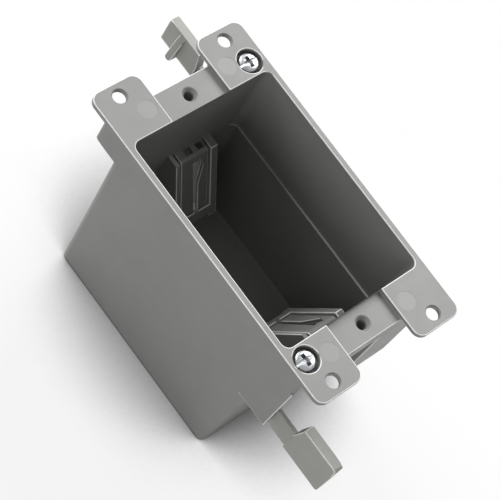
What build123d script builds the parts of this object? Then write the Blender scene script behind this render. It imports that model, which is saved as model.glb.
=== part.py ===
from build123d import *
from math import sqrt
import os

# Old-work wall box for one wiring device, with two swing-out clamping wings.
# Millimetres. The box rests on its back, the opening looks up (+Z), X is across
# the width and Y along the length. Rest pose: both wings swung out.

os.makedirs("parts", exist_ok=True)

# Overall sizes
box_width = 57.15
box_depth = 72.0
device_hole_spacing = 83.34
hole_to_opening = 5.17
hole_to_head_end = 5.13
tab_overlap = 7.95

# Walls
rim_wall = 2.1
back_wall = 2.2
end_wall = 2.0
neck_wall = 1.9
back_end_wall = 1.9
back_side_wall = 2.5
tab_thickness = 1.8
strip_drop = 1.7
opening_corner_radius = 2.6
body_corner_radius = 2.4
back_edge_radius = 1.0

# Draft of the box towards its back, on each side
side_draft = 0.375
end_draft = 1.7
draft_line_drop = 31.0
draft_line_step = 0.7

# Head that fills the hole in the drywall
head_depth = 10.8
guard_depth = 32.6
shield_depth = 44.8
shield_end_length = 21.0
shield_corner_radius = 3.0
head_wall = 2.0
head_corner_radius = 1.2

# Tabs that lie on the face of the drywall
tab_corner_radius = 3.2
strip_width = 22.25
tab_hole_diameter = 4.4
tab_hole_chamfer = 0.35
tab_chamfer_angle = 90
tab_hole_side_margin = 8.275
tab_hole_overlap = 3.8
pin_mark_diameter = 6.0
pin_mark_depth = 0.15
pin_mark_side_margin = 13.075
pin_mark_end_margin = 3.4

# Device screw holes in the recessed strips
device_hole_diameter = 3.0
device_mouth_diameter = 5.0
device_mouth_angle = 82
device_boss_diameter = 7.6
device_boss_length = 11.8

# Clamp screws at two opposite corners
screw_side_margin = 5.575
screw_end_margin = 5.3
screw_shank_diameter = 4.1
screw_head_diameter = 6.7
screw_head_height = 2.2
screw_head_round = 0.5
screw_length = 33.5
screw_tip_length = 1.6
screw_sink = 0.4
recess_diameter = 8.4
screw_boss_diameter = 10.4
screw_tip_diameter = 2.6
cross_width = 1.15
cross_span = 3.9
cross_depth = 1.3
slot_width = 0.9
slot_depth = 0.75

# Fits and clearances
turn_clearance = 0.06
seat_clearance = 0.05
wing_guard_clearance = 0.415
cut_margin = 1.0

# Swing-out wings, drawn in the swung-out pose
wing_drop = 19.5
wing_height = 15.5
wing_inner_height = 10.6
wing_notch_depth = 6.1
wing_reach = 29.2
wing_notch_reach = 13.3
wing_notch_lean = 1.3
wing_thickness = 3.4
arm_set_back = 0.45
arm_thickness = 1.3
hub_diameter = 6.0
hub_lift = 2.0
rib_reach = 23.7
rib_width = 2.6
rib_top_drop = 0.3
rib_shoulder_drop = 2.4
rib_shoulder_stand = 0.9
rib_bottom_stand = 2.4
rib_drop = 1.2
rib_root = 0.9
rib_foot_chamfer = 0.8
wing_end_radius = 1.0

# Cable clamp hoods inside the two ends
hood_side_space = 11.675
hood_width = 16.8
left_plate_width = 1.4
right_plate_width = 2.8
shelf_drop = 28.7
shelf_length = 4.7
window_run = 10.3
window_fall = 20.3
foot_bar_width = 4.7
hood_back_rise = 3.8
hood_root_step = 0.4
foot_root_step = 0.8
hood_wall = 1.8
flap_thickness = 1.4
flap_recess = 0.8
flap_left_gap = 1.3
flap_right_gap = 0.45
flap_tip_gap = 0.7
foot_bend_radius = 2.2
flap_bend_radius = 1.6
cable_window_rise = 3.8
cable_window_drop = 13.0
cable_window_cut = 6.0
split_left_top = 5.9
split_left_tip = 6.5
split_neck = 8.9
split_wide = 10.4
split_narrow = 8.1
split_start = 1.6
split_wide_at = 5.2
split_narrow_at = 12.0
tongue_radius = 1.5
shelf_hole_width = 2.6
shelf_hole_length = 2.2
shelf_hole_set_in = 0.7
shelf_hole_start = 5.8
shelf_hole_pitch = 4.5

# Derived places
half_width = box_width / 2
rim_inner = half_width - rim_wall
device_y = device_hole_spacing / 2
opening_length = device_hole_spacing - 2 * hole_to_opening
half_head = device_y + hole_to_head_end
tab_tip_span = 2 * (half_head + tab_overlap)
neck_length = opening_length + 2 * neck_wall
back_length = neck_length - 2 * end_draft
back_width = box_width - 2 * side_draft
inner_back_length = back_length - 2 * back_end_wall
inner_back_width = back_width - 2 * back_side_wall
inner_line_length = (opening_length + inner_back_length) / 2
draft_line_height = box_depth - draft_line_drop
head_floor = box_depth - head_depth
guard_foot = box_depth - guard_depth
shield_foot = box_depth - shield_depth
guard_length = half_head - back_length / 2 + end_wall
strip_top = box_depth - strip_drop
tab_under = box_depth - tab_thickness
tab_hole_x = half_width - tab_hole_side_margin
tab_hole_y = half_head + tab_hole_overlap
pin_mark_x = half_width - pin_mark_side_margin
pin_mark_y = half_head - pin_mark_end_margin
screw_x = half_width - screw_side_margin
screw_y = half_head - screw_end_margin
recess_floor = box_depth - screw_sink - screw_head_height - seat_clearance
screw_head_foot = recess_floor + seat_clearance
wing_top = box_depth - wing_drop
wing_foot = wing_top - wing_height
arm_top = wing_top - wing_notch_depth
corners = ((1, 1), (1, -1), (-1, 1), (-1, -1))
screw_corners = ((1, 1), (-1, -1))
seat = (Align.CENTER, Align.CENTER, Align.MIN)
hang = (Align.CENTER, Align.CENTER, Align.MAX)

# Places of the cable clamp hoods, from the side wall and the end wall
hood_right = rim_inner - hood_side_space
hood_left = hood_right - hood_width
window_left = hood_left + left_plate_width
window_right = hood_right - right_plate_width
window_width = window_right - window_left
shelf_height = box_depth - shelf_drop
hood_root_y = opening_length / 2 - hood_root_step
foot_root_y = hood_root_y - foot_root_step
shelf_front_y = hood_root_y - shelf_length
window_foot_y = shelf_front_y - window_run
window_foot_z = shelf_height - window_fall
hood_back_z = back_wall + hood_back_rise
cable_window_foot = hood_back_z + cable_window_rise
cable_window_top = shelf_height - cable_window_drop

# Slope of the hood's window, from the shelf down to the foot bar
window_length = sqrt(window_run**2 + window_fall**2)
down_y = -window_run / window_length
down_z = -window_fall / window_length
bar_y = window_foot_y + down_y * foot_bar_width
bar_z = window_foot_z + down_z * foot_bar_width


def bent_strip(points, bend_radius, thickness):
    """Thin strip along rounded points in the YZ plane, thickened to the left of its run."""
    run = FilletPolyline(*points, radius=bend_radius)
    return make_face(offset(run, amount=thickness, side=Side.LEFT))


# Profiles of the cable clamp hoods, drawn as Y and Z for the +Y end
side_profile = make_face(
    Polyline(
        (hood_root_y, shelf_height),
        (shelf_front_y, shelf_height),
        (bar_y, bar_z),
        (hood_root_y, hood_back_z),
        close=True,
    )
)
foot_root_z = hood_back_z + (bar_z - hood_back_z) * foot_root_step / (hood_root_y - bar_y)
foot_profile = bent_strip(
    ((window_foot_y, window_foot_z), (bar_y, bar_z), (foot_root_y, foot_root_z)),
    foot_bend_radius,
    hood_wall,
)
flap_top = shelf_height - flap_recess
flap_bend_y = shelf_front_y + flap_recess * (1 + down_y) / -down_z
flap_length = window_length - flap_tip_gap
flap_tip = (flap_bend_y + down_y * flap_length, flap_top + down_z * flap_length)
flap_profile = bent_strip(
    ((hood_root_y, flap_top), (flap_bend_y, flap_top), flap_tip),
    flap_bend_radius,
    flap_thickness,
)
hood_profiles = {
    1: (side_profile, foot_profile, flap_profile),
    -1: tuple(mirror(face, about=Plane.YZ) for face in (side_profile, foot_profile, flap_profile)),
}


def wing_shape():
    """Swing-out wing at the +X, +Y screw: hub, low arm, tall blade and rib."""
    outer_x = rim_inner - wing_guard_clearance
    inner_x = outer_x - wing_thickness
    notch_y = screw_y + wing_notch_reach
    plate = extrude(
        Plane.YZ.offset(inner_x)
        * make_face(
            Polyline(
                (screw_y, wing_foot),
                (screw_y + wing_reach, wing_foot),
                (screw_y + wing_reach, wing_top),
                (notch_y + wing_notch_lean, wing_top),
                (notch_y, arm_top),
                (screw_y, arm_top),
                close=True,
            )
        ),
        wing_thickness,
    )
    plate = fillet(plate.edges().filter_by(Axis.X).group_by(Axis.Y)[-1], wing_end_radius)
    slant = make_face(
        Polyline(
            (inner_x - cut_margin, wing_foot - cut_margin),
            (outer_x, wing_foot - cut_margin),
            (outer_x, wing_foot),
            (inner_x, wing_top - wing_inner_height),
            (inner_x - cut_margin, wing_top - wing_inner_height),
            close=True,
        )
    )
    plate -= extrude(Plane.XZ * slant, -(screw_y + wing_reach + cut_margin))
    arm_height = arm_top - wing_foot
    arm_middle = (wing_foot + arm_top) / 2
    arm_y = (screw_y + notch_y) / 2
    arm_place = outer_x - arm_set_back - arm_thickness / 2
    plate -= Pos((inner_x + outer_x) / 2, arm_y, arm_middle) * Box(
        wing_thickness, wing_notch_reach, arm_height
    )
    plate += Pos(arm_place, arm_y, arm_middle) * Box(arm_thickness, wing_notch_reach, arm_height)
    rib_foot = wing_top - wing_inner_height - rib_drop
    rib_face = make_face(
        Polyline(
            (inner_x + rib_root, wing_top - rib_top_drop),
            (inner_x, wing_top - rib_top_drop),
            (inner_x - rib_shoulder_stand, wing_top - rib_shoulder_drop),
            (inner_x - rib_bottom_stand, rib_foot),
            (inner_x + rib_root, rib_foot),
            close=True,
        )
    )
    rib = extrude(Plane.XZ.offset(-(screw_y + rib_reach - rib_width)) * rib_face, -rib_width)
    rib = chamfer(rib.edges().filter_by(Axis.X).group_by(Axis.Z)[0], rib_foot_chamfer)
    at_screw = Pos(screw_x, screw_y, arm_middle)
    hub = Pos(0, 0, hub_lift / 2) * at_screw * Cylinder(hub_diameter / 2, arm_height - hub_lift)
    bore = at_screw * Cylinder(screw_shank_diameter / 2 + turn_clearance, arm_height + cut_margin)
    return plate + rib + hub - bore


def screw_shape():
    """Clamp screw at the +X, +Y corner, with a cross recess and a slot in its head."""
    head = Cylinder(screw_head_diameter / 2, screw_head_height, align=seat)
    head = fillet(head.edges().sort_by(Axis.Z)[-1], screw_head_round)
    drive = Box(cross_span, cross_width, cross_depth, align=hang)
    slot = Box(screw_head_diameter, slot_width, slot_depth, align=hang)
    head -= Pos(0, 0, screw_head_height) * (drive + Rot(0, 0, 90) * drive + slot)
    shank_length = screw_length - screw_tip_length
    shank = Cylinder(screw_shank_diameter / 2, shank_length, align=hang)
    tip = Pos(0, 0, -shank_length) * Cone(
        screw_tip_diameter / 2, screw_shank_diameter / 2, screw_tip_length, align=hang
    )
    return Pos(screw_x, screw_y, screw_head_foot) * (head + shank + tip)


# Box body: walls, head, tabs, guards and cable clamp hoods in one moulding
with BuildPart() as box_body:
    with BuildSketch(Plane.XY) as back_face:
        RectangleRounded(back_width, back_length, body_corner_radius)
    with BuildSketch(Plane.XY.offset(head_floor)) as neck_face:
        RectangleRounded(box_width, neck_length, body_corner_radius)
    loft()
    fillet(box_body.faces().sort_by(Axis.Z)[0].edges(), back_edge_radius)

    # Head block between the back of the drywall hole and the strips
    with BuildSketch(Plane.XY.offset(head_floor)) as head_face:
        RectangleRounded(box_width, 2 * half_head, head_corner_radius)
    extrude(amount=strip_top - head_floor)

    # Tabs and rims, with the strips left lower between the tabs
    with BuildSketch(Plane.XY.offset(tab_under)) as tab_face:
        RectangleRounded(box_width, tab_tip_span, tab_corner_radius)
        for end in (1, -1):
            with Locations((0, end * (tab_tip_span + opening_length) / 4)):
                Rectangle(strip_width, (tab_tip_span - opening_length) / 2, mode=Mode.SUBTRACT)
        tip_corners = tab_face.vertices().filter_by(
            lambda v: abs(v.X) < strip_width / 2 + seat_clearance and abs(v.Y) > half_head
        )
        fillet(tip_corners, tab_corner_radius)
    extrude(amount=tab_thickness)

    # Guard plates that stop the swung-out wings, at the two screw corners
    for side, end in screw_corners:
        with BuildSketch(Plane.XY.offset(guard_foot)) as guard_face:
            with Locations((side * (half_width - rim_wall / 2), end * (half_head - guard_length / 2))):
                Rectangle(rim_wall, guard_length)
        extrude(amount=head_floor - guard_foot + head_wall)

    # Shield at the free corner of the lower end: a side plate and an end plate
    with BuildSketch(Plane.XY.offset(shield_foot)) as shield_side:
        with Locations((half_width - rim_wall / 2, -(half_head - guard_length / 2))):
            Rectangle(rim_wall, guard_length)
    extrude(amount=head_floor - shield_foot + head_wall)
    with BuildSketch(Plane.XY.offset(shield_foot)) as shield_end:
        with Locations((half_width - shield_end_length / 2, -(half_head - head_wall / 2))):
            Rectangle(shield_end_length, head_wall)
    extrude(amount=head_floor - shield_foot + head_wall)
    shield_foot_corners = (
        box_body.edges()
        .filter_by(Axis.Y)
        .filter_by(lambda e: abs(e.center().Z - shield_foot) < seat_clearance)
    )
    fillet(shield_foot_corners.sort_by(Axis.X)[0], shield_corner_radius)

    # Hollow below the strips and tabs, open towards the back
    with BuildSketch(Plane.XY.offset(head_floor)) as head_hollow:
        for end in (1, -1):
            with Locations((0, end * (half_head - head_wall + neck_length / 2) / 2)):
                Rectangle(2 * rim_inner, half_head - head_wall - neck_length / 2)
    extrude(amount=strip_top - head_wall - head_floor, mode=Mode.SUBTRACT)

    # Bosses for the device screws and the clamp screws
    with BuildSketch(Plane.XY.offset(strip_top - device_boss_length)) as device_bosses:
        with Locations((0, device_y), (0, -device_y)):
            Circle(device_boss_diameter / 2)
    extrude(amount=device_boss_length - head_wall / 2)
    with BuildSketch(Plane.XY.offset(head_floor)) as screw_bosses:
        with Locations(*[(side * screw_x, end * screw_y) for side, end in screw_corners]):
            Circle(screw_boss_diameter / 2)
        Rectangle(box_width, 2 * half_head, mode=Mode.INTERSECT)
    extrude(amount=strip_top - head_floor)

    # Inside of the box, with a small draft step half way down the long walls
    with BuildSketch(Plane.XY.offset(back_wall)) as inner_back:
        RectangleRounded(inner_back_width, inner_back_length, opening_corner_radius)
    with BuildSketch(Plane.XY.offset(draft_line_height)) as inner_line:
        RectangleRounded(2 * (rim_inner - draft_line_step), inner_line_length, opening_corner_radius)
    loft(mode=Mode.SUBTRACT)
    with BuildSketch(Plane.XY.offset(draft_line_height)) as inner_top:
        RectangleRounded(2 * rim_inner, inner_line_length, opening_corner_radius)
    with BuildSketch(Plane.XY.offset(box_depth)) as opening:
        RectangleRounded(2 * rim_inner, opening_length, opening_corner_radius)
    loft(mode=Mode.SUBTRACT)

    # Device screw holes with a countersunk mouth
    with Locations((0, device_y, strip_top), (0, -device_y, strip_top)):
        CounterSinkHole(
            device_hole_diameter / 2,
            device_mouth_diameter / 2,
            counter_sink_angle=device_mouth_angle,
        )

    # Fixing holes in the tabs
    with Locations(*[(a * tab_hole_x, b * tab_hole_y, box_depth) for a, b in corners]):
        CounterSinkHole(
            tab_hole_diameter / 2,
            tab_hole_diameter / 2 + tab_hole_chamfer,
            counter_sink_angle=tab_chamfer_angle,
        )

    # Ejector pin marks on the tabs
    with BuildSketch(Plane.XY.offset(box_depth - pin_mark_depth)) as pin_marks:
        with Locations(*[(a * pin_mark_x, b * pin_mark_y) for a, b in corners]):
            Circle(pin_mark_diameter / 2)
    extrude(amount=pin_mark_depth, mode=Mode.SUBTRACT)

    # Recesses and running holes for the clamp screws
    with BuildSketch(Plane.XY.offset(recess_floor)) as recesses:
        with Locations(*[(a * screw_x, b * screw_y) for a, b in screw_corners]):
            Circle(recess_diameter / 2)
    extrude(amount=box_depth - recess_floor, mode=Mode.SUBTRACT)
    with BuildSketch(Plane.XY.offset(head_floor)) as running_holes:
        with Locations(*[(a * screw_x, b * screw_y) for a, b in screw_corners]):
            Circle(screw_shank_diameter / 2 + turn_clearance)
    extrude(amount=recess_floor - head_floor, mode=Mode.SUBTRACT)

    # Cable clamp hoods: side plates, foot bar and back, and the two spring flaps
    for end in (1, -1):
        side_plate, foot_bar, flap = hood_profiles[end]
        for left, right in ((hood_left, window_left), (window_right, hood_right)):
            with BuildSketch(Plane.YZ.offset(left)) as plate_place:
                add(side_plate)
            extrude(amount=right - left)
        with BuildSketch(Plane.YZ.offset(window_left)) as foot_place:
            add(foot_bar)
        extrude(amount=window_width)

        # Cable window through the end wall behind the hood
        window_middle = (window_left + window_right) / 2
        window_mid_height = (cable_window_foot + cable_window_top) / 2
        before_wall = inner_back_length / 2 - end_wall / 2
        with BuildSketch(Plane.XZ.offset(-end * before_wall)) as cable_window:
            with Locations((window_middle, window_mid_height)):
                Rectangle(window_width, cable_window_top - cable_window_foot)
        extrude(amount=-end * cable_window_cut, mode=Mode.SUBTRACT)

        # Flaps, held by the shelf and free at the sides and tip
        with BuildSketch(Plane.YZ.offset(window_left + flap_left_gap)) as flap_place:
            add(flap)
        extrude(amount=window_width - flap_left_gap - flap_right_gap)
        slope = Plane(
            origin=(0, end * flap_bend_y, flap_top),
            x_dir=(1, 0, 0),
            z_dir=(0, end * down_z, -down_y),
        )
        with BuildSketch(slope) as split:
            with BuildLine():
                Polyline(
                    (window_left + split_left_top, -end * split_start),
                    (window_left + split_neck, -end * split_start),
                    (window_left + split_wide, -end * split_wide_at),
                    (window_left + split_narrow, -end * split_narrow_at),
                    (window_left + split_narrow, -end * window_length),
                    (window_left + split_left_tip, -end * window_length),
                    close=True,
                )
            make_face()
            with Locations((window_left + (split_left_top + split_neck) / 2, -end * split_start)):
                Circle(tongue_radius, mode=Mode.SUBTRACT)
        extrude(amount=2 * flap_thickness, both=True, mode=Mode.SUBTRACT)

        # Small holes in the shelf, next to the end wall
        shelf_hole_y = hood_root_y - shelf_hole_set_in - shelf_hole_length / 2
        with BuildSketch(Plane.XY.offset(flap_top - 2 * flap_thickness)) as shelf_holes:
            for hole in range(2):
                shelf_hole_x = window_left + shelf_hole_start + hole * shelf_hole_pitch
                with Locations((shelf_hole_x, end * shelf_hole_y)):
                    Rectangle(shelf_hole_width, shelf_hole_length)
        extrude(amount=3 * flap_thickness, mode=Mode.SUBTRACT)

# Swing-out wings, each on its clamp screw
wing = wing_shape()
with BuildPart() as upper_wing:
    add(wing)
with BuildPart() as lower_wing:
    add(Rot(0, 0, 180) * wing)

# Clamp screws, each through its recess and wing
screw = screw_shape()
with BuildPart() as upper_screw:
    add(screw)
with BuildPart() as lower_screw:
    add(Rot(0, 0, 180) * screw)

box_body.part.label = "box_body"
export_step(box_body.part, "parts/box_body.step")
upper_wing.part.label = "upper_wing"
export_step(upper_wing.part, "parts/upper_wing.step")
lower_wing.part.label = "lower_wing"
export_step(lower_wing.part, "parts/lower_wing.step")
upper_screw.part.label = "upper_screw"
export_step(upper_screw.part, "parts/upper_screw.step")
lower_screw.part.label = "lower_screw"
export_step(lower_screw.part, "parts/lower_screw.step")
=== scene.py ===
import math

import bmesh
import bpy
from mathutils import Matrix, Vector, geometry
from mathutils.bvhtree import BVHTree


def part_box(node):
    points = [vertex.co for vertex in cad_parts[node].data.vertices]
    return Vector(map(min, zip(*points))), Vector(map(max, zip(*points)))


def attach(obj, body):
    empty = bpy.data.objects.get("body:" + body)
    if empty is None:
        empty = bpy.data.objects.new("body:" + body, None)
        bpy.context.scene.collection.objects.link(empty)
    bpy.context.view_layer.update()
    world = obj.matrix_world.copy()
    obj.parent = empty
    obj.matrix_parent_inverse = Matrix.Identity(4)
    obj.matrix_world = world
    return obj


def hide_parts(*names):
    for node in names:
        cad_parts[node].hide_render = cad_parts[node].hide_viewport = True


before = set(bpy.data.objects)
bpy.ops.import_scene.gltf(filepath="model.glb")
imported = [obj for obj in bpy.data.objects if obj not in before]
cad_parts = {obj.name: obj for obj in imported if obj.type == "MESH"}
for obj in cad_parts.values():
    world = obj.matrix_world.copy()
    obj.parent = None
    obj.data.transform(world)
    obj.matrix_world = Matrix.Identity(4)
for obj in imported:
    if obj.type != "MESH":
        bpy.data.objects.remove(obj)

bl_info = {
    "name": "Drywall back box",
    "version": (1, 0, 0),
    "blender": (4, 5, 0),
    "location": "View3D > Sidebar > Back box",
    "description": "Dresses the moulded wall box, its clamp wings and its screws, and sets the studio",
    "category": "Object",
}

MM = 0.001

# Places in a moulded piece's list of materials: painted edge highlight, polished marks, painted ledge
# highlight
PAINTED_HIGHLIGHT = 1
POLISHED = 2
PAINTED_LEDGE_HIGHLIGHT = 3

# How much glossier the painted edge highlights and the polished marks are than the grained faces
PAINTED_HIGHLIGHT_GLOSS = 1.35
POLISHED_GLOSS = 1.2

# Device screw holes in the recessed strips, whose mouths are kept out of the painted edge highlight
DEVICE_SCREW_SPACING = 83.34 * MM
MOUTH_RADIUS = 3.0 * MM

# How far the shade of the box reaches on the floor
CONTACT_REACH = 75.0 * MM

# Ejector pin marks on the tabs: drawn shallower than the solid's, as the real ones are faint
PIN_MARK_FLOOR = 71.85 * MM
PIN_MARK_LIFT = 0.1 * MM

# Two faces that turn by more than this meet in a moulded edge, and by less in a curve's facets
SHARP_TURN = math.radians(28)

# Turns at which the smooth shading breaks: between two wide flat faces, on the mouldings, on the
# screw's head before and after its drive is cut, and on its thread
FLAT_TURN = math.radians(3)
MOULDED_TURN = math.radians(40)
HEAD_TURN = math.radians(40)
DRIVE_TURN = math.radians(35)
THREAD_TURN = math.radians(50)

# Mean width from which a moulded face counts as a wide flat one
WIDE_FACE = 1.2 * MM

# Rounding, in radii: the widest slim face, the widest that gets the ledge's painted highlight, the
# least room beside an edge, how far a corner may stand off the solid, and how far round a spoilt one
# stays sharp
SLIM_WIDTH = 4.0
LEDGE_WIDTH = 3.0
LEAST_ROOM = 2.2
STAND_OFF = 0.9
SPOILT_REACH = 2.5
ROUNDING_STEPS = 3
ROUNDING_TRIES = 6
MOST_FOLDED_CORNERS = 6

# Points of a mesh that lie closer than this count as one
WELD = 0.001 * MM

# Clamp screw: its head, its shank over the thread, and how far the shank reaches into the head
HEAD_HEIGHT = 2.2 * MM
HEAD_SIDES = 64
THREAD_RADIUS = 2.05 * MM
SHANK_OVERLAP = 0.05 * MM


# Small helpers


def linear(code):
    """sRGB hex colour, such as A0A09E, as linear red, green, blue and alpha."""
    parts = [int(code[i : i + 2], 16) / 255 for i in (0, 2, 4)]
    return [p / 12.92 if p <= 0.04045 else ((p + 0.055) / 1.055) ** 2.4 for p in parts] + [1.0]


def hex_default(code):
    """The same colour for a colour property, which has no alpha."""
    return tuple(linear(code)[:3])


def node(tree, kind, settings=None, stops=(), **links):
    """Adds a node with its settings, and a ramp with its (position, grey level or colour) stops.

    A link is a socket, and a value goes on the node's own socket. Its key is the socket's name with _
    for a space, or i and the socket's number.
    """
    made = tree.nodes.new(kind)
    for name, value in (settings or {}).items():
        setattr(made, name, value)
    for count, (place, value) in enumerate(stops):
        marks = made.color_ramp.elements
        mark = marks[count] if count < len(marks) else marks.new(1.0)
        mark.position = place
        mark.color = value if isinstance(value, list) else (value, value, value, 1.0)
    for name, value in links.items():
        key = int(name[1:]) if name[0] == "i" and name[1:].isdigit() else name.replace("_", " ")
        if isinstance(value, bpy.types.NodeSocket):
            tree.links.new(value, made.inputs[key])
        else:
            made.inputs[key].default_value = value
    return made


def new_material(name):
    """Material without any nodes; returns it and its node tree."""
    made = bpy.data.materials.new(name)
    made.use_nodes = True
    made.node_tree.nodes.clear()
    return made, made.node_tree


def piece(name, bm, *materials):
    """Object in the scene from a bmesh, with its materials."""
    mesh = bpy.data.meshes.new(name)
    bm.to_mesh(mesh)
    bm.free()
    for material in materials:
        mesh.materials.append(material)
    made = bpy.data.objects.new(name, mesh)
    bpy.context.scene.collection.objects.link(made)
    return made


def width_of(face):
    """Mean width of a long face."""
    return 2 * face.calc_area() / face.calc_perimeter()


def shade(bm, angle, flat_width=math.inf):
    """Smooth shading that breaks at a sharp edge and between two faces above the flat width."""
    for face in bm.faces:
        face.smooth = True
    for edge in bm.edges:
        turn = edge.calc_face_angle(0.0) if edge.is_manifold else math.pi
        flat = all(width_of(face) > flat_width for face in edge.link_faces)
        edge.smooth = turn < (FLAT_TURN if flat else angle)


def even_normals(made):
    """Flat faces stay flat next to their rounded edges."""
    weighted = made.modifiers.new("even_normals", "WEIGHTED_NORMAL")
    weighted.keep_sharp = True
    weighted.weight = 100


def nearest_on_edge(edge, spot):
    """Point of an edge that lies closest to a spot."""
    start, end = (v.co for v in edge.verts)
    near, share = geometry.intersect_point_line(spot, start, end)
    return start if share < 0.0 else end if share > 1.0 else near


def face_width(loop):
    """How far a face reaches inwards from the middle of one of its edges."""
    edge = loop.edge
    middle = (edge.verts[0].co + edge.verts[1].co) / 2
    inwards = edge.calc_tangent(loop)
    width = math.inf
    for other in loop.face.edges:
        if not set(other.verts) & set(edge.verts):
            way = nearest_on_edge(other, middle) - middle
            # Only what lies within 60 degrees of straight inwards counts
            if way.dot(inwards) > 0.5 * way.length:
                width = min(width, way.length)
    return width


def is_sharp(edge):
    """An edge between two faces that turn by more than a curve's facets do."""
    return edge.is_manifold and edge.calc_face_angle(0.0) > SHARP_TURN


def is_slim(face, width):
    """A narrow flat face between two sharp edges, such as a ledge, and no facet of a curve."""
    longest = max(edge.calc_length() for edge in face.edges)
    long_edges = [edge for edge in face.edges if edge.calc_length() > 0.5 * longest]
    return width_of(face) < width and all(is_sharp(edge) for edge in long_edges)


def is_folded(face, skin):
    """A face of few corners that the rounding of its neighbours has turned by over 120 degrees."""
    normal = skin.find_nearest(face.calc_center_median())[1]
    return len(face.verts) <= MOST_FOLDED_CORNERS and face.normal.dot(normal) < -0.5


def solid_faces(node_name):
    """The solid's own faces, each in one piece."""
    solid = bmesh.new()
    solid.from_mesh(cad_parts[node_name].data)
    bmesh.ops.remove_doubles(solid, verts=solid.verts, dist=2 * WELD)
    # Triangles that turn by less than 0.3 degrees are parts of one face
    bmesh.ops.dissolve_limit(
        solid, angle_limit=math.radians(0.3), verts=solid.verts, edges=solid.edges
    )
    solid.edges.ensure_lookup_table()
    return solid


def on_pin_floor(vert):
    """A point of the floor of an ejector mark."""
    return abs(vert.co.z - PIN_MARK_FLOOR) < 10 * WELD


def lift_pin_marks(solid):
    """Gives the floors of the ejector marks their finish, and lifts them to the drawn depth."""
    for face in solid.faces:
        if all(on_pin_floor(vert) for vert in face.verts):
            face.material_index = POLISHED
    for vert in solid.verts:
        if on_pin_floor(vert):
            vert.co.z += PIN_MARK_LIFT


def round_edges(solid, skin, tight, radius):
    """Copy of the solid with its sharp edges rounded, its new faces, and its corners off the solid."""
    for turn in range(ROUNDING_TRIES):
        bm = solid.copy()
        bm.edges.ensure_lookup_table()
        sharp = [
            edge
            for edge in bm.edges
            if edge.index not in tight
            and is_sharp(edge)
            and min(face_width(loop) for loop in edge.link_loops) > LEAST_ROOM * radius
        ]
        rounded = bmesh.ops.bevel(
            bm,
            geom=sharp,
            offset=radius,
            offset_type="OFFSET",
            segments=ROUNDING_STEPS,
            profile=0.5,
            affect="EDGES",
            clamp_overlap=False,
        )
        bm.normal_update()
        strays = [v for v in bm.verts if skin.find_nearest(v.co)[3] > STAND_OFF * radius]
        folded = [f for f in bm.faces if is_folded(f, skin)]
        if not (strays or folded) or turn == ROUNDING_TRIES - 1:
            return bm, rounded["faces"], strays
        # Corners that are too tight for the radius keep their sharp edge
        spots = [end.co.copy() for v in strays for e in v.link_edges for end in e.verts]
        spots += [v.co.copy() for f in folded for v in f.verts]
        bm.free()
        reach = SPOILT_REACH * radius
        for edge in solid.edges:
            if any((nearest_on_edge(edge, spot) - spot).length < reach for spot in spots):
                tight.add(edge.index)


def moulded_shape(node_name, radius):
    """The solid's own faces with every sharp edge rounded, as a mould leaves it."""
    solid = solid_faces(node_name)
    skin = BVHTree.FromBMesh(solid)
    # Slim flat faces, such as the ledge of the draft step, keep their sharp edges
    slim = [face for face in solid.faces if is_slim(face, SLIM_WIDTH * radius)]
    tight = {edge.index for face in slim for edge in face.edges}
    # The narrowest slim faces get a lighter grey, a painted highlight along the thin ledges and steps
    for face in slim:
        face.material_index = PAINTED_LEDGE_HIGHLIGHT if is_slim(face, LEDGE_WIDTH * radius) else 0
    lift_pin_marks(solid)
    bm, rounded, strays = round_edges(solid, skin, tight, radius)
    # The rounded outer edges get a painted highlight, a lighter grey; the inner corners and the screw
    # holes' mouths stay plain
    for face in rounded:
        centre = face.calc_center_median()
        spot, normal, _, _ = skin.find_nearest(centre)
        outer = (centre - spot).dot(normal) < 0.0
        mouth = math.hypot(centre.x, abs(centre.y) - DEVICE_SCREW_SPACING / 2) < MOUTH_RADIUS
        face.material_index = PAINTED_HIGHLIGHT if outer and not mouth else 0
    for vert in strays:
        vert.co = skin.find_nearest(vert.co)[0]
    low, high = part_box(node_name)
    for vert in bm.verts:
        vert.co = Vector([min(max(c, a), b) for c, a, b in zip(vert.co, low, high)])
    solid.free()
    bmesh.ops.dissolve_degenerate(bm, dist=WELD, edges=bm.edges)
    bm.normal_update()
    shade(bm, MOULDED_TURN, WIDE_FACE)
    return bm


# Settings that a user would change

# What all the colour settings share
COLOUR = {"subtype": "COLOR", "size": 3, "min": 0.0, "max": 1.0}


class BoxSettings(bpy.types.PropertyGroup):
    """The moulded box and its wings."""

    edge_radius: bpy.props.FloatProperty(
        name="Edge radius",
        description="Rounding of the moulded edges, in millimetres",
        default=0.28,
        min=0.05,
        max=0.5,
    )
    grey: bpy.props.FloatVectorProperty(
        name="Box colour",
        description="Grey of the rigid vinyl",
        default=hex_default("898987"),
        **COLOUR,
    )
    # Painted highlight: a lighter grey for the rounded outer edges, standing in for the light they
    # catch
    edge_highlight_grey: bpy.props.FloatVectorProperty(
        name="Edge colour",
        description="Lighter grey of the rounded edges, which handling has rubbed smooth",
        default=hex_default("F6F6F4"),
        **COLOUR,
    )
    polished_grey: bpy.props.FloatVectorProperty(
        name="Polished colour",
        description="Grey of the ejector marks, which polished pins leave in the tabs",
        default=hex_default("90908E"),
        **COLOUR,
    )
    # Painted highlight: a lighter grey for the thin ledges and steps, standing in for the light line
    # they catch
    ledge_highlight_grey: bpy.props.FloatVectorProperty(
        name="Ledge colour",
        description="Grey of the narrow ledge where the draft starts and the flash has been trimmed",
        default=hex_default("C2C2C0"),
        **COLOUR,
    )
    wing_grey: bpy.props.FloatVectorProperty(
        name="Wing colour",
        description="Grey of the clamp wings, a touch warmer than the box",
        default=hex_default("A1A19C"),
        **COLOUR,
    )
    grain: bpy.props.FloatProperty(
        name="Mould grain",
        description="Size of one pit of the eroded mould surface, in millimetres",
        default=0.32,
        min=0.05,
        max=2.0,
    )


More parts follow.
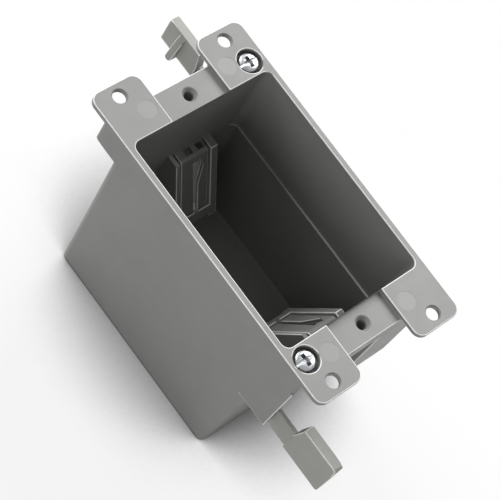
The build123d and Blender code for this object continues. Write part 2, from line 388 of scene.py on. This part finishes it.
class ScrewSettings(bpy.types.PropertyGroup):
    """The two clamp screws."""

    pitch: bpy.props.FloatProperty(
        name="Thread pitch",
        description="Distance from one thread to the next, in millimetres",
        default=0.794,
        min=0.3,
        max=2.0,
    )
    thread_depth: bpy.props.FloatProperty(
        name="Thread depth",
        description="Height of a thread above its root, in millimetres",
        default=0.42,
        min=0.1,
        max=0.8,
    )
    zinc: bpy.props.FloatVectorProperty(
        name="Zinc colour",
        description="Bright zinc plate with a clear passivation",
        default=hex_default("A4A6A8"),
        **COLOUR,
    )


class StageSettings(bpy.types.PropertyGroup):
    """Floor, lamps and camera."""

    floor: bpy.props.FloatVectorProperty(
        name="Floor colour",
        description="White paper floor",
        default=hex_default("F8F8F8"),
        **COLOUR,
    )
    key: bpy.props.FloatProperty(
        name="Key lamp",
        description="Power of the large soft lamp beyond the upper wing's end, in watts",
        default=59.0,
        min=0.0,
        unit="POWER",
    )
    side: bpy.props.FloatProperty(
        name="Side lamp",
        description="Power of the large soft lamp on the box's far long side, in watts",
        default=82.0,
        min=0.0,
        unit="POWER",
    )
    fill: bpy.props.FloatProperty(
        name="Fill lamp",
        description="Power of the weak, low soft lamp on the camera's side, in watts",
        default=18.0,
        min=0.0,
        unit="POWER",
    )
    sky: bpy.props.FloatProperty(
        name="Sky level",
        description="Strength of the even light from all round",
        default=0.09,
        min=0.0,
        max=2.0,
    )
    backdrop: bpy.props.FloatProperty(
        name="Backdrop level",
        description="Brightness of the backdrop that the camera and the metal see",
        default=1.0,
        min=0.0,
        max=2.0,
    )


# Materials


def moulded_vinyl(name, colour, grain_mm, gloss=1.0):
    """Injection-moulded rigid PVC from a fine spark-eroded mould: satin, with soft broad highlights."""
    made, tree = new_material(name)
    place = node(tree, "ShaderNodeTexCoord").outputs["Object"]
    # Flow of the melt: very faint, slow tone changes about 18 mm across
    flow_size = 18 * MM
    flow_tone = 0.03
    flow = node(
        tree, "ShaderNodeTexNoise", Vector=place, Scale=1 / flow_size, Detail=3.0, Roughness=0.5
    )
    light_grey = [min(1.0, c * (1 + flow_tone)) for c in colour] + [1.0]
    dark_grey = [c * (1 - flow_tone) for c in colour] + [1.0]
    stops = ((0.32, dark_grey), (0.68, light_grey))
    tone = node(tree, "ShaderNodeValToRGB", stops=stops, Fac=flow.outputs["Fac"])
    # Eroded grain: real pits are near 0.05 mm, drawn coarser so that they show
    grain_size = grain_mm * MM
    grain = node(
        tree, "ShaderNodeTexNoise", Vector=place, Scale=1 / grain_size, Detail=2.0, Roughness=0.55
    )
    speck = node(
        tree,
        "ShaderNodeMix",
        {"data_type": "RGBA", "blend_type": "OVERLAY"},
        Factor=0.10,
        A=tone.outputs["Color"],
        B=grain.outputs["Color"],
    )
    # Scuffs of handling: slightly smoother patches about 6 mm across
    scuff_size = 6 * MM
    smooth_patch = 0.40 / gloss
    plain_patch = 0.52 / gloss
    scuff = node(
        tree, "ShaderNodeTexNoise", Vector=place, Scale=1 / scuff_size, Detail=4.0, Roughness=0.6
    )
    stops = ((0.3, smooth_patch), (0.7, plain_patch))
    rough = node(tree, "ShaderNodeValToRGB", stops=stops, Fac=scuff.outputs["Fac"])
    pit_depth = 0.02 * MM
    bump = node(
        tree, "ShaderNodeBump", Strength=0.22, Distance=pit_depth, Height=grain.outputs["Fac"]
    )
    shader = node(
        tree,
        "ShaderNodeBsdfPrincipled",
        Base_Color=speck.outputs["Result"],
        Roughness=rough.outputs["Color"],
        IOR=1.53,
        Normal=bump.outputs["Normal"],
    )
    node(tree, "ShaderNodeOutputMaterial", Surface=shader.outputs["BSDF"])
    return made


def zinc_plated_steel(name, colour):
    """Cold-headed steel with bright zinc plate: mirror-like, with faint blots in its highlights."""
    made, tree = new_material(name)
    place = node(tree, "ShaderNodeTexCoord").outputs["Object"]
    # Crystals of the plate, about 0.5 mm across, drawn as roughness changes
    crystal_size = 0.5 * MM
    spangle = node(tree, "ShaderNodeTexVoronoi", Vector=place, Scale=1 / crystal_size)
    stops = ((0.0, 0.17), (0.6, 0.34))
    rough = node(tree, "ShaderNodeValToRGB", stops=stops, Fac=spangle.outputs["Distance"])
    # Blots of the clear passivation, about 1.4 mm across, drawn in the tone and as a slight unevenness
    blot_size = 1.4 * MM
    dull_tone = 0.72
    blot = node(
        tree, "ShaderNodeTexNoise", Vector=place, Scale=1 / blot_size, Detail=4.0, Roughness=0.6
    )
    dull = [c * dull_tone for c in colour] + [1.0]
    stops = ((0.35, dull), (0.62, list(colour) + [1.0]))
    tone = node(tree, "ShaderNodeValToRGB", stops=stops, Fac=blot.outputs["Fac"])
    blot_depth = 0.02 * MM
    bump = node(
        tree, "ShaderNodeBump", Strength=0.35, Distance=blot_depth, Height=blot.outputs["Fac"]
    )
    shader = node(
        tree,
        "ShaderNodeBsdfPrincipled",
        Base_Color=tone.outputs["Color"],
        Metallic=1.0,
        Roughness=rough.outputs["Color"],
        Normal=bump.outputs["Normal"],
    )
    node(tree, "ShaderNodeOutputMaterial", Surface=shader.outputs["BSDF"])
    return made


def seen_directly(tree):
    """1 for what the camera and the shiny metal see, and 0 for light on its way to the object."""
    ray = node(tree, "ShaderNodeLightPath")
    seen = node(
        tree,
        "ShaderNodeMath",
        {"operation": "MAXIMUM"},
        i0=ray.outputs["Is Camera Ray"],
        i1=ray.outputs["Is Glossy Ray"],
    )
    return seen.outputs["Value"]


def paper_floor(name, colour):
    """Matt white paper: keeps the soft shadow, and lifts to white for the camera and the metal."""
    made, tree = new_material(name)
    seen = seen_directly(tree)
    paper = node(tree, "ShaderNodeBsdfDiffuse", Color=list(colour) + [1.0])
    # Soft contact shade close under the box, which gives it weight on the white paper
    near = node(tree, "ShaderNodeAmbientOcclusion", {"samples": 24}, Distance=CONTACT_REACH)
    stops = ((0.4, 0.05), (0.6, 0.52), (0.74, 1.0))
    tone = node(tree, "ShaderNodeValToRGB", stops=stops, Fac=near.outputs["AO"])
    lift = node(tree, "ShaderNodeEmission", Color=tone.outputs["Color"], Strength=seen)
    # Beyond the part where the least share below holds, the paper runs out into full white at 1 m
    place = node(tree, "ShaderNodeTexCoord").outputs["Object"]
    away = node(tree, "ShaderNodeVectorMath", {"operation": "LENGTH"}, i0=place)
    fade = node(
        tree, "ShaderNodeMapRange", Value=away.outputs["Value"], From_Min=0.3, From_Max=1.0
    )
    # Least share of the lifted white where the paper is seen directly, and for light on its way: that
    # light finds the share dark, which keeps the paper's bounce off the box down
    seen_share = 0.8
    plain_share = 0.35
    full = node(
        tree, "ShaderNodeMath", {"operation": "MAXIMUM"}, i0=fade.outputs["Result"], i1=seen_share
    )
    far = node(tree, "ShaderNodeMath", {"operation": "MULTIPLY"}, i0=full.outputs["Value"], i1=seen)
    share = node(
        tree, "ShaderNodeMath", {"operation": "MAXIMUM"}, i0=far.outputs["Value"], i1=plain_share
    )
    lifted = node(
        tree,
        "ShaderNodeMixShader",
        Fac=share.outputs["Value"],
        i1=paper.outputs["BSDF"],
        i2=lift.outputs["Emission"],
    )
    node(tree, "ShaderNodeOutputMaterial", Surface=lifted.outputs["Shader"])
    return made


# Pieces


def ring(bm, centre, radius, height, count):
    """Circle of points about the Z axis."""
    turns = [2 * math.pi * i / count for i in range(count)]
    return [
        bm.verts.new((centre.x + radius * math.cos(t), centre.y + radius * math.sin(t), height))
        for t in turns
    ]


def bridge(bm, low, high):
    """Band of faces between two circles of points, facing outwards when high lies above low."""
    count = len(low)
    for i in range(count):
        j = (i + 1) % count
        bm.faces.new((low[i], low[j], high[j], high[i]))


def threaded_shank(bm, centre, top, tip, pitch, depth, sides=32, slices=8):
    """One closed skin that winds a thread down the shank, running out at both ends."""
    # Lengths in pitches: the run-out under the head, the run-out at the tip and the tapered point
    head_runout = 1.5
    tip_runout = 2.5
    point_length = 2.0
    # Radius of the point's end, as a share of the shank's
    point_share = 0.62
    # Half the width of a thread in pitches, and how much its crest is blunted
    thread_half = 0.42
    blunting = 1.25
    length = top - tip
    steps = int(length / pitch * slices)
    rows = []
    for k in range(steps + 1):
        z = top - length * k / steps
        fade = min(1.0, (top - z) / (head_runout * pitch), (z - tip) / (tip_runout * pitch))
        taper = min(1.0, point_share + (1 - point_share) * (z - tip) / (point_length * pitch))
        row = []
        for i in range(sides):
            angle = 2 * math.pi * i / sides
            phase = (z / pitch - angle / (2 * math.pi)) % 1.0
            crest = max(0.0, 1.0 - abs(phase - 0.5) / thread_half)
            crest = min(1.0, crest * blunting)
            radius = (THREAD_RADIUS - depth * (1.0 - crest * max(0.0, fade))) * taper
            spot = (centre.x + radius * math.cos(angle), centre.y + radius * math.sin(angle), z)
            row.append(bm.verts.new(spot))
        rows.append(row)
    for above, below in zip(rows, rows[1:]):
        bridge(bm, below, above)
    bm.faces.new(rows[0])
    bm.faces.new(list(reversed(rows[-1])))


def pan_head(name, centre, foot, radius, material):
    """Head without its drive: a lathe profile with a domed top."""
    bm = bmesh.new()
    # Points as shares of the head's radius and height
    profile = (
        (0.55, 0.0),
        (0.90, 0.0),
        (0.985, 0.05),
        (1.0, 0.12),
        (1.0, 0.52),
        (0.985, 0.66),
        (0.95, 0.77),
        (0.87, 0.88),
        (0.72, 0.96),
        (0.45, 0.99),
        (0.2, 1.0),
    )
    rows = [ring(bm, centre, radius * r, foot + HEAD_HEIGHT * z, HEAD_SIDES) for r, z in profile]
    for low, high in zip(rows, rows[1:]):
        bridge(bm, low, high)
    bm.faces.new(list(reversed(rows[0])))
    bm.faces.new(rows[-1])
    shade(bm, HEAD_TURN)
    return piece(name, bm, material)


def drive_knife(name, centre, top, material):
    """What the cross and the slot take out of the head: three crossing blades, tapered downwards."""
    cutter = bmesh.new()
    # Half length, half width and depth of a blade, and the share of its length left at its foot
    cross = (2.3 * MM, 0.72 * MM, 1.6 * MM, 0.4)
    slot = (3.6 * MM, 0.5 * MM, 0.8 * MM, 1.0)
    foot_width = 0.8
    rise = 0.5 * MM
    for degrees, (reach, half, deep, foot_length) in ((0.0, cross), (90.0, cross), (0.0, slot)):
        turn = Matrix.Rotation(math.radians(degrees), 4, "Z")
        for vert in bmesh.ops.create_cube(cutter, size=1.0)["verts"]:
            low = vert.co.z < 0
            across = math.copysign(reach * (foot_length if low else 1.0), vert.co.x)
            aside = math.copysign(half * (foot_width if low else 1.0), vert.co.y)
            spot = Vector((across, aside, -deep if low else rise))
            vert.co = turn @ spot + Vector((centre.x, centre.y, top))
    return piece(name, cutter, material)


def screw_head(name, centre, foot, radius, material):
    """Mesh of the pan head, cut by a tapered cross and a straight slot."""
    head = pan_head(name, centre, foot, radius, material)
    knife = drive_knife(name + "_drive", centre, foot + HEAD_HEIGHT, material)
    cut = head.modifiers.new("drive", "BOOLEAN")
    cut.operation = "DIFFERENCE"
    cut.solver = "EXACT"
    cut.use_self = True
    cut.object = knife
    cut_head = head.evaluated_get(bpy.context.evaluated_depsgraph_get())
    mesh = bpy.data.meshes.new_from_object(cut_head)
    bpy.data.objects.remove(head)
    bpy.data.objects.remove(knife)
    return mesh


def clamp_screw(name, node_name, settings, material):
    """Combination-drive pan head screw in the place of its solid."""
    low, high = (Vector(c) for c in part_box(node_name))
    centre = (low + high) / 2
    foot = high.z - HEAD_HEIGHT
    radius = (high.x - low.x) / 2
    head = screw_head(name + "_head", centre, foot, radius, material)
    bm = bmesh.new()
    bm.from_mesh(head)
    bpy.data.meshes.remove(head)
    bmesh.ops.remove_doubles(bm, verts=bm.verts, dist=WELD)
    shade(bm, DRIVE_TURN)
    shank = bmesh.new()
    pitch = settings.pitch * MM
    threaded_shank(shank, centre, foot + SHANK_OVERLAP, low.z, pitch, settings.thread_depth * MM)
    shade(shank, THREAD_TURN)
    joined = bpy.data.meshes.new(name + "_shank")
    shank.to_mesh(joined)
    shank.free()
    bm.from_mesh(joined)
    bpy.data.meshes.remove(joined)
    return piece(name, bm, material)


class BACKBOX_OT_box(bpy.types.Operator):
    """Makes the one-piece moulded box with rounded edges in the place of its solid"""

    bl_idname = "backbox.box"
    bl_label = "Moulded box"

    def execute(self, context):
        settings = context.scene.backbox_box
        vinyl = moulded_vinyl("moulded_grey_pvc", settings.grey, settings.grain)
        # The rounded outer edges get a lighter grey, which is a painted highlight
        painted_edge = moulded_vinyl(
            "painted_highlight_pvc_edge", settings.edge_highlight_grey, settings.grain, PAINTED_HIGHLIGHT_GLOSS
        )
        polished = moulded_vinyl(
            "polished_grey_pvc", settings.polished_grey, settings.grain, POLISHED_GLOSS
        )
        # Thin ledges and steps get a lighter grey, which is a painted highlight
        ledge_highlight = moulded_vinyl("painted_highlight_ledge_pvc", settings.ledge_highlight_grey, settings.grain)
        shape = moulded_shape("box_body", settings.edge_radius * MM)
        body = piece("moulded_box", shape, vinyl, painted_edge, polished, ledge_highlight)
        even_normals(body)
        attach(body, "box")
        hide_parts("box_body")
        return {"FINISHED"}


class BACKBOX_OT_wings(bpy.types.Operator):
    """Makes the two swing-out clamp wings in the place of their solids"""

    bl_idname = "backbox.wings"
    bl_label = "Clamp wings"

    def execute(self, context):
        settings = context.scene.backbox_box
        vinyl = moulded_vinyl("moulded_grey_wing_pvc", settings.wing_grey, settings.grain)
        # The rounded outer edges get a lighter grey, which is a painted highlight
        painted_edge = moulded_vinyl(
            "painted_highlight_wing_edge", settings.edge_highlight_grey, settings.grain, PAINTED_HIGHLIGHT_GLOSS
        )
        for side in ("upper", "lower"):
            shape = moulded_shape(side + "_wing", settings.edge_radius * MM)
            # A wing's slim faces get the painted edge highlight, as its rounded outer edges do
            for face in shape.faces:
                face.material_index = min(face.material_index, PAINTED_HIGHLIGHT)
            wing = piece(side + "_clamp_wing", shape, vinyl, painted_edge)
            even_normals(wing)
            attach(wing, side + "_flip")
            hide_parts(side + "_wing")
        return {"FINISHED"}


class BACKBOX_OT_screws(bpy.types.Operator):
    """Makes the two threaded clamp screws in the place of their solids"""

    bl_idname = "backbox.screws"
    bl_label = "Clamp screws"

    def execute(self, context):
        settings = context.scene.backbox_screws
        zinc = zinc_plated_steel("zinc_plated_steel", settings.zinc)
        for side in ("upper", "lower"):
            screw = clamp_screw(side + "_clamp_screw", side + "_screw", settings, zinc)
            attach(screw, side + "_turn")
            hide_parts(side + "_screw")
        return {"FINISHED"}


def soft_lamp(name, place, size, power):
    """Large rectangular white lamp that looks at the middle of the box."""
    data = bpy.data.lights.new(name, "AREA")
    data.shape = "RECTANGLE"
    data.size, data.size_y = size
    data.energy = power
    made = bpy.data.objects.new(name, data)
    made.location = place
    aim = Vector((0.0, 0.0, 0.03))
    made.rotation_euler = (aim - Vector(place)).to_track_quat("-Z", "Y").to_euler()
    bpy.context.scene.collection.objects.link(made)


def even_sky(settings):
    """White for the camera and in reflections, as the floor is, and weak as a light."""
    world = bpy.data.worlds.new("even_sky")
    world.use_nodes = True
    tree = world.node_tree
    tree.nodes.clear()
    level = node(
        tree,
        "ShaderNodeMapRange",
        Value=seen_directly(tree),
        To_Min=settings.sky,
        To_Max=settings.backdrop,
    )
    white = (1.0, 1.0, 1.0, 1.0)
    sky = node(tree, "ShaderNodeBackground", Color=white, Strength=level.outputs["Result"])
    node(tree, "ShaderNodeOutputWorld", Surface=sky.outputs["Background"])
    return world


def photo_camera():
    """Camera of the photograph, solved on the box's corners: a long lens above its -X side."""
    data = bpy.data.cameras.new("camera")
    data.sensor_width = 36.0
    data.lens = 141.771
    data.clip_start, data.clip_end = 0.02, 20.0
    eye = bpy.data.objects.new("camera", data)
    eye.rotation_mode = "QUATERNION"
    eye.location = (-0.30319, -0.0932, 0.53707)
    eye.rotation_quaternion = (0.916561, 0.157416, -0.234151, -0.283389)
    bpy.context.scene.collection.objects.link(eye)
    return eye


class BACKBOX_OT_stage(bpy.types.Operator):
    """Sets the white floor, the soft lamps, the even sky and the camera"""

    bl_idname = "backbox.stage"
    bl_label = "Studio"

    def execute(self, context):
        scene = context.scene
        settings = scene.backbox_stage
        bm = bmesh.new()
        bmesh.ops.create_grid(bm, x_segments=1, y_segments=1, size=6.0)
        floor = piece("floor", bm, paper_floor("white_paper", settings.floor))
        # A hair under the box, so that the two don't share a plane
        floor.location = (0.0, 0.0, -0.2 * MM)
        soft_lamp("key_lamp", (0.15, 2.36, 1.85), (1.8, 1.5), settings.key)
        soft_lamp("side_lamp", (2.3, 0.4, 1.85), (1.8, 1.5), settings.side)
        soft_lamp("fill_lamp", (-2.35, -0.45, 0.75), (1.6, 1.0), settings.fill)
        scene.world = even_sky(settings)
        scene.camera = photo_camera()
        scene.view_settings.view_transform = "Standard"
        return {"FINISHED"}


class BACKBOX_PT_sidebar(bpy.types.Panel):
    """Back box settings and steps"""

    bl_label = "Back box"
    bl_idname = "BACKBOX_PT_sidebar"
    bl_space_type = "VIEW_3D"
    bl_region_type = "UI"
    bl_category = "Back box"

    def draw(self, context):
        scene = context.scene
        for group, label, step in (
            (scene.backbox_box, "Box and wings", "backbox.box"),
            (scene.backbox_screws, "Screws", "backbox.screws"),
            (scene.backbox_stage, "Studio", "backbox.stage"),
        ):
            part = self.layout.box()
            part.label(text=label)
            for name in group.__annotations__:
                part.prop(group, name)
            part.operator(step)
        self.layout.operator("backbox.wings")


CLASSES = (
    BoxSettings,
    ScrewSettings,
    StageSettings,
    BACKBOX_OT_box,
    BACKBOX_OT_wings,
    BACKBOX_OT_screws,
    BACKBOX_OT_stage,
    BACKBOX_PT_sidebar,
)


def register():
    for made in CLASSES:
        bpy.utils.register_class(made)
    bpy.types.Scene.backbox_box = bpy.props.PointerProperty(type=BoxSettings)
    bpy.types.Scene.backbox_screws = bpy.props.PointerProperty(type=ScrewSettings)
    bpy.types.Scene.backbox_stage = bpy.props.PointerProperty(type=StageSettings)


def unregister():
    del bpy.types.Scene.backbox_box
    del bpy.types.Scene.backbox_screws
    del bpy.types.Scene.backbox_stage
    for made in reversed(CLASSES):
        bpy.utils.unregister_class(made)


def main():
    """Builds every piece and the studio."""
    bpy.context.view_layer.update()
    register()
    bpy.ops.backbox.box()
    bpy.ops.backbox.wings()
    bpy.ops.backbox.screws()
    bpy.ops.backbox.stage()
    bpy.context.view_layer.update()


if __name__ == "__main__":
    main()
